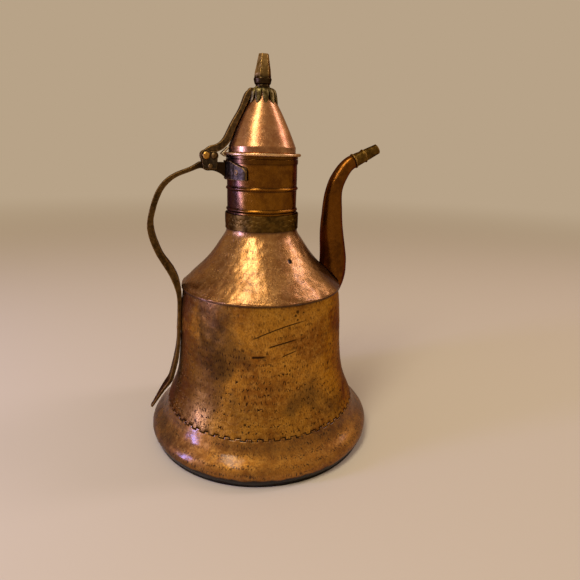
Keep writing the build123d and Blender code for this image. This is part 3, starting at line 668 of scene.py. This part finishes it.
spout_copper = copper("spout_copper", tone(80, 44, 8), tone(112, 66, 12), tone(134, 84, 28), grain=0.15,
                      rough=(0.20, 0.32), specks=0.3, hammer=0.10)
band_brass = brass("band_brass", tone(64, 46, 18), tone(94, 68, 26), tone(122, 94, 44), wear=0.30)
old_brass = brass("old_brass", tone(58, 42, 20), tone(86, 63, 32), tone(116, 86, 46), wear=0.25,
                  extra=handle_soot)
dark_brass = brass("dark_brass", tone(42, 34, 26), tone(66, 54, 40), tone(94, 78, 56), wear=0.3)
strap_brass = brass("strap_brass", tone(60, 46, 28), tone(92, 70, 44), tone(124, 98, 62), wear=0.3,
                    crevice=0.9 * MM)
bud_brass = brass("bud_brass", tone(116, 92, 52), tone(162, 130, 78), tone(192, 160, 104), rough=(0.22, 0.34),
                  wear=0.5, extra=finial_dark_cup)
leaf_brass = brass("leaf_brass", tone(70, 58, 32), tone(112, 96, 56), tone(164, 146, 94), crevice=1.8 * MM)
clip_brass = brass("clip_brass", tone(158, 142, 116), tone(190, 174, 148), tone(210, 196, 172),
                   crevice=0.5 * MM, wear=0.2)
bright_brass = brass("bright_brass", tone(160, 110, 40), tone(196, 142, 56), tone(218, 172, 88),
                     rough=(0.24, 0.36))
tin = lining("tin_lining")


# Sheets


def tooth_phase(around):
    """How far an angle is past the start of its tooth, and the angle from tooth to tooth."""
    pitch = TAU / TOOTH_COUNT
    return np.mod(around + pitch / 4, pitch), pitch


def in_pan_tooth(around):
    """Whether an angle lies in a tooth of the pan, and not in one of the wall."""
    phase, pitch = tooth_phase(around)
    return phase < pitch / 2


def seam_distance(around, height, radius):
    """Distance along the sheet from the toothed line."""
    phase, pitch = tooth_phase(around)
    to_flank = np.minimum(np.mod(phase, pitch / 2), pitch / 2 - np.mod(phase, pitch / 2)) * radius
    level = np.where(phase < pitch / 2, SEAM_TOP, SEAM_FOOT)
    to_level = np.abs(height - level)
    outside = np.maximum(np.maximum(height - SEAM_TOP, SEAM_FOOT - height), 0)
    return np.minimum(to_level, np.hypot(to_flank, outside))


def seam_levels(low, high, coarse):
    """Heights that are close together along the seam and wider apart away from it."""
    fine = 0.22 * MM
    near_low, near_high = SEAM_FOOT - 3 * fine, SEAM_TOP + 3 * fine
    middle = list(np.arange(max(low, near_low), min(high, near_high) + fine / 2, fine))
    below = levels_between(low, middle[0], coarse)[:-1] if middle[0] - low > coarse else []
    above = levels_between(middle[-1], high, coarse)[1:] if high - middle[-1] > coarse else []
    return below + middle + above


def seam_line(levels):
    """The outer line of foot pan, seam and wall together."""
    pan = [level for level in levels if level < SEAM_FOOT]
    wall = [level for level in levels if level > SEAM_TOP]
    low_radius = outer_line("base_pan", [SEAM_FOOT - JUST_INSIDE])[0][0]
    high_radius = outer_line("body_wall", [SEAM_TOP + JUST_INSIDE])[0][0]
    teeth = [
        (low_radius + (high_radius - low_radius) * (level - SEAM_FOOT) / (SEAM_TOP - SEAM_FOOT), level)
        for level in levels
        if SEAM_FOOT <= level <= SEAM_TOP
    ]
    return outer_line("base_pan", pan) + teeth + outer_line("body_wall", wall)


def seam_relief(amount):
    """Gentle dents, and a groove along the toothed line."""
    def relief(places, around, height):
        radius = np.hypot(places[:, 0], places[:, 1])
        groove = np.exp(-((seam_distance(around, height, radius) / GROOVE_REACH) ** 2))
        broad = waves(places, 42 * MM, 3) - 1.2
        small = waves(places, 13 * MM, 4) - 1.2
        return amount * (0.75 * broad + 0.25 * small) / 2 - GROOVE_DEPTH * groove
    return relief


def mark_seam(piece, around_count):
    """A value of 1 along the toothed line, which the dark line follows."""
    places = points_of(piece)
    around = np.mod(np.arctan2(places[:, 1], places[:, 0]), TAU)
    around = np.round(around / (TAU / around_count)) * (TAU / around_count)
    gap = seam_distance(around, places[:, 2], np.hypot(places[:, 0], places[:, 1]))
    mask(piece, "seam", np.clip(1.4 - gap / SEAM_LINE, 0, 1))


def make_foot_and_wall():
    """Pan and wall share one outer line, and the teeth part their faces."""
    segments = TOOTH_COUNT * STEPS_PER_TOOTH
    foot_levels = seam_levels(0.0, SEAM_TOP, 1.6 * MM)
    line = seam_line([level for level in foot_levels if level > 0.05 * MM])
    flat_edge = line[0][0]
    floor = [(flat_edge * share, 0.0) for share in (0.02, 0.3, 0.6, 0.85, 0.96)]
    floor.append((flat_edge - 0.2 * MM, 0.0))

    def foot_relief(places, around, height):
        push = seam_relief(0.5 * MM)(places, around, height)
        return np.where(height < 0.6 * MM, 0.0, push)

    def pan_face(around, level):
        return (level < SEAM_FOOT) | in_pan_tooth(around)

    pan = lathe("foot_pan_sheet", floor + line, segments, foot_relief, pan_face)
    mark_seam(pan, segments)
    thicken(pan, SHEET, 1)
    dress(pan, "pot", "base_pan", "aged_copper", pan_copper, tin)

    wall_levels = seam_levels(SEAM_FOOT, WALL_TOP, 1.8 * MM)
    line = seam_line([max(level, SEAM_FOOT) for level in wall_levels])

    def wall_face(around, level):
        return (level > SEAM_TOP) | ~in_pan_tooth(around)

    wall = lathe("wall_sheet", line, segments, seam_relief(0.45 * MM), wall_face)
    mark_seam(wall, segments)
    thicken(wall, SHEET, 1)
    dress(wall, "pot", "body_wall", "aged_copper", wall_copper, tin)


def make_shoulder():
    """The shoulder with its fold: the edge wavers, and the slope is planished in short facets."""
    fold_foot = WALL_TOP - 1.0 * MM
    levels = levels_between(fold_foot, EDGE_HEIGHT, 0.3 * MM)
    levels += levels_between(EDGE_HEIGHT + 0.3 * MM, NECK_FOOT + 1.0 * MM, 0.9 * MM)

    def relief(places, around, height):
        rise = (height - EDGE_HEIGHT) / (NECK_FOOT - EDGE_HEIGHT)
        edge = np.exp(-(((height - EDGE_HEIGHT) / (1.6 * MM)) ** 2))
        waver = 0.30 * MM * (waves(places, 16 * MM, 11) - 1.1) * edge
        broad = 0.12 * MM * (waves(places, 26 * MM, 12) - 1.2)
        facets = 0.06 * MM * (waves(places * (1, 1, 0.4), 7 * MM, 13) - 1.0)
        pit = -0.9 * MM * dent(places, PIT, 1.1 * MM)
        fade = np.clip((1.02 - rise) / 0.08, 0, 1)
        return waver + (broad + facets) * fade * np.clip(rise * 12, 0, 1) + pit

    shoulder = lathe("shoulder_sheet", outer_line("shoulder_cone", levels), 720, relief)
    thicken(shoulder, SHOULDER_SHEET, 1)
    dress(shoulder, "pot", "shoulder_cone", "aged_copper", shoulder_copper, tin)


def soft_relief(amount, length, seed):
    """Gentle dents alone."""
    def relief(places, around, height):
        return amount * (waves(places, length, seed) - 1.2) / 2
    return relief


def make_neck():
    """The neck with its raised rings, the notched collar round its foot and the band round its mouth."""
    levels = levels_between(NECK_FOOT, NECK_MOUTH, 0.5 * MM)
    neck = lathe("neck_sheet", outer_line("neck_tube", levels, (90, 100, 260, 270)), 480,
                 soft_relief(0.22 * MM, 20 * MM, 21))
    thicken(neck, SHEET, 1)
    dress(neck, "pot", "neck_tube", "dark_copper", neck_copper, tin)

    def collar_relief(places, around, height):
        """Two rows of notches round the collar."""
        rise = height - NECK_FOOT
        notch = np.zeros(len(places))
        for level, pitch, shift in ((5.2 * MM, 0.14, 0.0), (9.0 * MM, 0.17, 0.4)):
            waver = 0.35 * MM * np.sin(around * 9 + shift * 5)
            tooth = 0.45 * MM * np.sign(np.sin(around * TAU / pitch + shift))
            notch = np.maximum(notch, np.exp(-(((rise - level - waver - tooth) / (0.45 * MM)) ** 2)))
        return 0.16 * MM * (waves(places, 9 * MM, 22) - 1.2) / 2 - 0.32 * MM * notch

    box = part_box("neck_collar")
    line = outer_line("neck_collar", levels_between(box[0].z, box[1].z, 0.35 * MM))
    collar = lathe("neck_foot_band", line, 900, collar_relief)
    thicken(collar, COLLAR_SHEET)
    dress(collar, "pot", "neck_collar", "dark_copper", band_brass)

    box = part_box("neck_mouth_band")
    line = outer_line("neck_mouth_band", levels_between(box[0].z, box[1].z, 0.3 * MM))
    band = lathe("neck_lip_band", line, 480, soft_relief(0.12 * MM, 12 * MM, 23))
    thicken(band, MOUTH_BAND_SHEET)
    dress(band, "pot", "neck_mouth_band", "dark_copper", neck_copper)


def make_lid():
    """The lid's cone with its upright band and flat top, and the ring round its edge."""
    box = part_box("lid_cone")
    levels = levels_between(box[0].z, box[1].z, 0.6 * MM)
    line = outer_line("lid_cone", levels)
    top = box[1].z
    line += [(line[-1][0] * share, top) for share in (0.85, 0.6, 0.35)]

    def relief(places, around, height):
        rise = (height - box[0].z) / (top - box[0].z)
        broad = 0.09 * MM * (waves(places, 24 * MM, 31) - 1.2)
        fade = np.clip((1.0 - rise) * 10, 0, 1) * np.clip(rise * 20, 0, 1)
        return broad * fade

    lid = lathe("lid_sheet", line, 600, relief)
    thicken(lid, LID_SHEET, 1)
    dress(lid, "lid", "lid_cone", "aged_copper", lid_copper, tin)

    ring = worked("lid_ring", "lid_rim_ring", 0.45 * MM, 3, forged(0.08 * MM, 14 * MM, 33))
    dress(ring, "lid", "lid_rim_ring", "aged_copper", ring_copper)
    recolour("lid_inner_collar", neck_copper)


def make_crown():
    """Pointed leaves cut from one cap, each bowed across, with room for the strap in place of one.

    The spine gives a leaf's radius, as a share of the crown's reach, at shares of its drop; the outline gives
    its width, as a share of its place, at shares of its length.
    """
    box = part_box("petal_crown")
    top, foot = box[1].z, box[0].z
    reach = -box[0].y
    spine = ((0.0, 0.05, 0.14, 0.3, 0.6, 1.0), (0.55, 0.70, 0.82, 0.885, 0.94, 0.995))
    outline = ((0, 0.25, 0.6, 0.8, 0.93, 1), (1.0, 0.93, 0.80, 0.60, 0.30, 0.04))
    bow_depth, inset = 0.75 * MM, 0.35 * MM
    strap_gap = STRAP_WIDTH / 2 + 0.3 * MM
    rows, columns = 26, 12
    places, faces = [], []
    for leaf in range(LEAF_COUNT):
        middle = math.radians(-90) + TAU * leaf / LEAF_COUNT
        from_strap = math.remainder(middle - math.pi, TAU)
        if abs(from_strap) < 0.2:
            continue
        rng = np.random.default_rng(40 + leaf)
        length, turn_out = rng.uniform(0.93, 1.0), rng.uniform(-0.04, 0.04)
        start = len(places)
        for row in range(rows + 1):
            down = row / rows
            drop = down**1.25
            radius = reach * np.interp(drop, *spine)
            width = np.interp(down, *outline)
            clear = math.asin(min(1, strap_gap / radius))
            for column in range(columns + 1):
                across = 2 * column / columns - 1
                bow = (1 - across**2) * bow_depth * min(1, down * 3) * (1.1 - down * 0.5)
                angle = middle + turn_out * down + across * width * TAU / LEAF_COUNT / 2
                if abs(math.remainder(angle - math.pi, TAU)) < clear:
                    angle = math.pi + math.copysign(clear, from_strap)
                out = radius - inset + bow / 2
                height = top - 0.1 * MM - (top - foot - 0.4 * MM) * drop * length
                places.append((out * math.cos(angle), out * math.sin(angle), height))
        for row in range(rows):
            for column in range(columns):
                corner = start + row * (columns + 1) + column
                faces.append((corner, corner + columns + 1, corner + columns + 2, corner + 1))
    crown = new_object("crown_leaves", np.array(places), faces)
    thicken(crown, LEAF_SHEET)
    dress(crown, "lid", "petal_crown", "old_brass", leaf_brass)
    disc = [(reach * 0.62, top - 0.7 * MM), (reach * 0.56, top - 0.25 * MM), (0.4 * MM, top - 0.25 * MM)]
    cap = lathe("crown_cap", disc, 120)
    thicken(cap, CAP_SHEET)
    dress(cap, "lid", "petal_crown", "old_brass", leaf_brass)


def make_forgings():
    """Pieces worked over from their solids, with voxel size in millimetres and rounds of smoothing."""
    pieces = (
        ("finial_bud", "finial", "lid", "old_brass", bud_brass, 0.25, 2, forged(0.12 * MM, 6 * MM, 51)),
        ("hinge_arm", "lid_strap", "lid", "old_brass", strap_brass, 0.35, 2, forged(0.1 * MM, 14 * MM, 52)),
        ("lid_clip", "rim_clip", "lid", "bright_brass", clip_brass, 0.16, 1, swollen(0.25 * MM)),
        ("handle_forging", "handle_bar", "pot", "old_brass", old_brass, 0.42, 2,
         forged(0.12 * MM, 22 * MM, 54)),
        ("palm_plate", "neck_clasp", "pot", "old_brass", dark_brass, 0.30, 2, forged(0.25 * MM, 9 * MM, 55)),
        ("cheek_plates", "hinge_cheeks", "pot", "old_brass", dark_brass, 0.30, 2,
         forged(0.2 * MM, 6 * MM, 56)),
        ("hinge_rivets", "cheek_rivets", "pot", "old_brass", dark_brass, 0.22, 2, None),
        ("hinge_pin_forging", "hinge_pin", "pot", "bright_brass", bright_brass, 0.25, 2, None),
        ("palm_rivets", "clasp_rivets", "pot", "old_brass", dark_brass, 0.25, 1, swollen(0.3 * MM)),
        ("leg_rivet_heads", "leg_rivets", "pot", "aged_copper", wall_copper, 0.25, 1, swollen(0.15 * MM)),
        ("spout_sleeve", "spout_tip", "pot", "old_brass", band_brass, 0.30, 2, forged(0.15 * MM, 6 * MM, 61)),
    )
    for name, node, body, slot, material, voxel, smoothing, relief in pieces:
        dress(worked(name, node, voxel * MM, smoothing, relief), body, node, slot, material)
    spout = worked("spout_forging", "spout_tube", 0.6 * MM, 3, forged(0.2 * MM, 26 * MM, 62))
    dress(spout, "pot", "spout_tube", "aged_copper", spout_copper)
    recolour("finial_washer", band_brass)


# Stage


def make_stage():
    """A wide pale floor that fades into the background."""
    rings, segments = (0.3, 0.8, 2.0, 6.0, 14.0), 64
    places = [(r * math.cos(TAU * n / segments), r * math.sin(TAU * n / segments), 0) for r in rings
              for n in range(segments)] + [(0, 0, 0)]
    faces = [(len(places) - 1, n, (n + 1) % segments) for n in range(segments)]
    for ring in range(len(rings) - 1):
        low = ring * segments
        for n in range(segments):
            m = (n + 1) % segments
            faces.append((low + n, low + segments + n, low + segments + m, low + m))
    floor = new_object("floor", np.array(places) - (0, 0, 0.05 * MM), faces)
    s = Shader("floor")
    s.face.inputs["Base Color"].default_value = (*FLOOR, 1)
    s.face.inputs["Roughness"].default_value = 0.85
    glow = s.add("ShaderNodeEmission")
    glow.inputs["Color"].default_value = (*BACKGROUND, 1)
    x, y = s.axis("X"), s.axis("Y")
    reach = s.reckon("SQRT", s.reckon("ADD", s.times(x, x), s.times(y, y)))
    mixed = s.add("ShaderNodeMixShader")
    s.put(mixed.inputs[0], s.ease(reach, 0.5, 2.4))
    s.put(mixed.inputs[1], s.face.outputs[0])
    s.put(mixed.inputs[2], glow.outputs[0])
    output = [n for n in s.tree.nodes if n.type == "OUTPUT_MATERIAL"][0]
    s.put(output.inputs["Surface"], mixed.outputs[0])
    floor.data.materials.append(s.material)


def make_lamp(name, place, target, size, power, colour):
    """A soft rectangle of light that faces its target."""
    lamp = bpy.data.lights.new(name, "AREA")
    lamp.shape = "RECTANGLE"
    lamp.size, lamp.size_y = size
    lamp.energy = power
    lamp.color = colour
    holder = bpy.data.objects.new(name, lamp)
    bpy.context.scene.collection.objects.link(holder)
    holder.location = place
    holder.rotation_euler = (Vector(target) - Vector(place)).to_track_quat("-Z", "Y").to_euler()


def make_lights():
    world = bpy.data.worlds.new("studio")
    bpy.context.scene.world = world
    world.use_nodes = True
    world.node_tree.nodes["Background"].inputs["Color"].default_value = (*BACKGROUND, 1)
    world.node_tree.nodes["Background"].inputs["Strength"].default_value = 1.0
    middle, foot = (0, 0, 0.16), (0, -0.06, 0.05)
    make_lamp("key", (-0.53, -0.47, 1.25), middle, size=(0.34, 1.0), power=10.6, colour=(1.0, 0.93, 0.76))
    make_lamp("right", (1.05, -0.03, 0.95), middle, size=(0.20, 0.8), power=3.9, colour=(0.94, 0.80, 1.0))
    make_lamp("left", (-1.06, -0.10, 0.28), foot, size=(0.16, 0.44), power=9.0, colour=(0.36, 0.36, 1.0))


def make_camera():
    """The camera looks along forward, and its roll tips right and up about that way."""
    forward = Vector((math.sin(CAMERA_AZIMUTH) * math.cos(CAMERA_PITCH),
                      math.cos(CAMERA_AZIMUTH) * math.cos(CAMERA_PITCH), -math.sin(CAMERA_PITCH)))
    level = Vector((math.cos(CAMERA_AZIMUTH), -math.sin(CAMERA_AZIMUTH), 0))
    above = level.cross(forward)
    right = math.cos(CAMERA_ROLL) * level - math.sin(CAMERA_ROLL) * above
    up = math.sin(CAMERA_ROLL) * level + math.cos(CAMERA_ROLL) * above
    camera = bpy.data.cameras.new("camera")
    camera.sensor_width = SENSOR
    camera.lens = SENSOR * FOCAL_SHARE
    camera.clip_start = 0.01
    holder = bpy.data.objects.new("camera", camera)
    bpy.context.scene.collection.objects.link(holder)
    turn = Matrix((right, up, -forward)).transposed().to_4x4()
    holder.matrix_world = Matrix.Translation(CAMERA_PLACE) @ turn
    bpy.context.scene.camera = holder


make_camera()
make_stage()
make_lights()
make_foot_and_wall()
make_shoulder()
make_neck()
make_lid()
make_crown()
make_forgings()
bpy.context.scene.view_settings.view_transform = "Standard"
